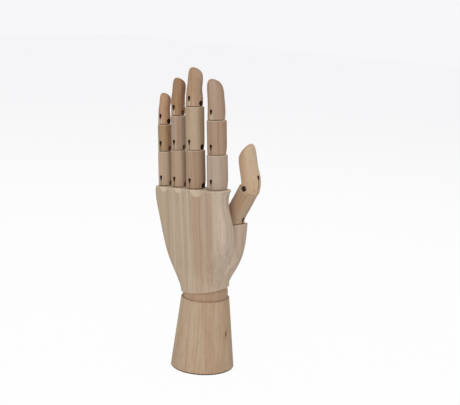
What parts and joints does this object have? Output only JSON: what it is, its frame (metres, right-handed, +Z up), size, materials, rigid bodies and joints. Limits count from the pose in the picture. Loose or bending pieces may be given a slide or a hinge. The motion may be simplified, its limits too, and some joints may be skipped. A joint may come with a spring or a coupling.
{
  "type": "wooden hand mannequin",
  "caption": "Jointed wooden model of a left hand with pinned finger joints, standing by a ball wrist on a tapered round base.",
  "frame": {"origin": "centre of the base's flat underside", "axes": "+Z up along the base, the hand's back towards -Y, its palm towards +Y and its thumb towards +X"},
  "size_m": [0.1003, 0.059, 0.28],
  "materials": {
    "base_wood": "fine sanded, unvarnished",
    "palm_wood": "fine sanded, unvarnished",
    "finger_wood": "fine sanded, unvarnished",
    "grey_wood": "fine sanded, unvarnished",
    "dark_wood": "fine sanded, unvarnished",
    "steel": "plain drawn steel"
  },
  "bodies": {
    "base": {"base": "base_wood", "base_anchor_screw": "steel", "base_washer": "steel"},
    "wrist_core": {"spring_swivel": "steel", "wrist_spring": "steel"},
    "wrist_ball": {"wrist_ball": "palm_wood"},
    "palm": {"palm": "palm_wood", "palm_anchor_screw": "steel", "little_proximal_link": "steel", "ring_proximal_link": "steel", "middle_proximal_link": "steel", "index_proximal_link": "steel", "thumb_proximal_link": "steel"},
    "little_proximal": {"little_proximal": "finger_wood", "little_proximal_pin": "steel", "little_middle_link": "steel"},
    "little_middle": {"little_middle": "dark_wood", "little_middle_pin": "steel", "little_distal_link": "steel"},
    "little_distal": {"little_distal": "finger_wood", "little_distal_pin": "steel"},
    "ring_proximal": {"ring_proximal": "finger_wood", "ring_proximal_pin": "steel", "ring_middle_link": "steel"},
    "ring_middle": {"ring_middle": "finger_wood", "ring_middle_pin": "steel", "ring_distal_link": "steel"},
    "ring_distal": {"ring_distal": "finger_wood", "ring_distal_pin": "steel"},
    "middle_proximal": {"middle_proximal": "finger_wood", "middle_proximal_pin": "steel", "middle_middle_link": "steel"},
    "middle_middle": {"middle_middle": "finger_wood", "middle_middle_pin": "steel", "middle_distal_link": "steel"},
    "middle_distal": {"middle_distal": "finger_wood", "middle_distal_pin": "steel"},
    "index_proximal": {"index_proximal": "grey_wood", "index_proximal_pin": "steel", "index_middle_link": "steel"},
    "index_middle": {"index_middle": "grey_wood", "index_middle_pin": "steel", "index_distal_link": "steel"},
    "index_distal": {"index_distal": "grey_wood", "index_distal_pin": "steel"},
    "thumb_proximal": {"thumb_proximal": "finger_wood", "thumb_proximal_pin": "steel", "thumb_distal_link": "steel"},
    "thumb_distal": {"thumb_distal": "finger_wood", "thumb_distal_pin": "steel"}
  },
  "joints": [
    {"name": "wrist_turn", "type": "hinge", "parent": "base", "child": "wrist_core", "pos_m": [0, 0, 0.0712], "axis": [0, 0, 1], "continuous": true},
    {"name": "wrist_sway", "type": "hinge", "parent": "wrist_core", "child": "wrist_ball", "pos_m": [0, 0, 0.0712], "axis": [0, 1, 0], "range_deg": [-7, 16], "deforming": ["wrist_spring"]},
    {"name": "wrist_bend", "type": "hinge", "parent": "wrist_ball", "child": "palm", "pos_m": [0, 0, 0.0712], "axis": [-1, 0, 0], "range_deg": [-9, 16], "deforming": ["wrist_spring"]},
    {"name": "little_proximal_bend", "type": "hinge", "parent": "palm", "child": "little_proximal", "pos_m": [-0.04372, -0.012, 0.17038], "axis": [-0.9969, 0, -0.0785], "range_deg": [0, 65]},
    {"name": "little_middle_bend", "type": "hinge", "parent": "little_proximal", "child": "little_middle", "pos_m": [-0.04622, -0.012, 0.20218], "axis": [-0.9969, 0, -0.0785], "range_deg": [0, 65]},
    {"name": "little_distal_bend", "type": "hinge", "parent": "little_middle", "child": "little_distal", "pos_m": [-0.04817, -0.012, 0.227], "axis": [-0.9969, 0, -0.0785], "range_deg": [0, 65]},
    {"name": "ring_proximal_bend", "type": "hinge", "parent": "palm", "child": "ring_proximal", "pos_m": [-0.02737, -0.0114, 0.17166], "axis": [-0.9969, 0, -0.0785], "range_deg": [0, 65]},
    {"name": "ring_middle_bend", "type": "hinge", "parent": "ring_proximal", "child": "ring_middle", "pos_m": [-0.03003, -0.0114, 0.20546], "axis": [-0.9969, 0, -0.0785], "range_deg": [0, 65]},
    {"name": "ring_distal_bend", "type": "hinge", "parent": "ring_middle", "child": "ring_distal", "pos_m": [-0.0325, -0.0114, 0.23686], "axis": [-0.9969, 0, -0.0785], "range_deg": [0, 65]},
    {"name": "middle_proximal_bend", "type": "hinge", "parent": "palm", "child": "middle_proximal", "pos_m": [-0.00803, -0.0109, 0.17319], "axis": [-0.9969, 0, -0.0785], "range_deg": [0, 65]},
    {"name": "middle_middle_bend", "type": "hinge", "parent": "middle_proximal", "child": "middle_middle", "pos_m": [-0.01077, -0.0109, 0.20808], "axis": [-0.9969, 0, -0.0785], "range_deg": [0, 65]},
    {"name": "middle_distal_bend", "type": "hinge", "parent": "middle_middle", "child": "middle_distal", "pos_m": [-0.01385, -0.0109, 0.24716], "axis": [-0.9969, 0, -0.0785], "range_deg": [0, 65]},
    {"name": "index_proximal_bend", "type": "hinge", "parent": "palm", "child": "index_proximal", "pos_m": [0.0141, -0.0069, 0.17493], "axis": [-0.9969, 0, -0.0785], "range_deg": [0, 65]},
    {"name": "index_middle_bend", "type": "hinge", "parent": "index_proximal", "child": "index_middle", "pos_m": [0.01164, -0.0069, 0.20623], "axis": [-0.9969, 0, -0.0785], "range_deg": [0, 65]},
    {"name": "index_distal_bend", "type": "hinge", "parent": "index_middle", "child": "index_distal", "pos_m": [0.0092, -0.0069, 0.23723], "axis": [-0.9969, 0, -0.0785], "range_deg": [0, 65]},
    {"name": "thumb_proximal_bend", "type": "hinge", "parent": "palm", "child": "thumb_proximal", "pos_m": [0.01981, 0.0126, 0.14054], "axis": [0, 1, 0], "range_deg": [-40, 0]},
    {"name": "thumb_distal_bend", "type": "hinge", "parent": "thumb_proximal", "child": "thumb_distal", "pos_m": [0.03595, 0.0126, 0.17469], "axis": [0, 1, 0], "range_deg": [-45, 0]}
  ]
}
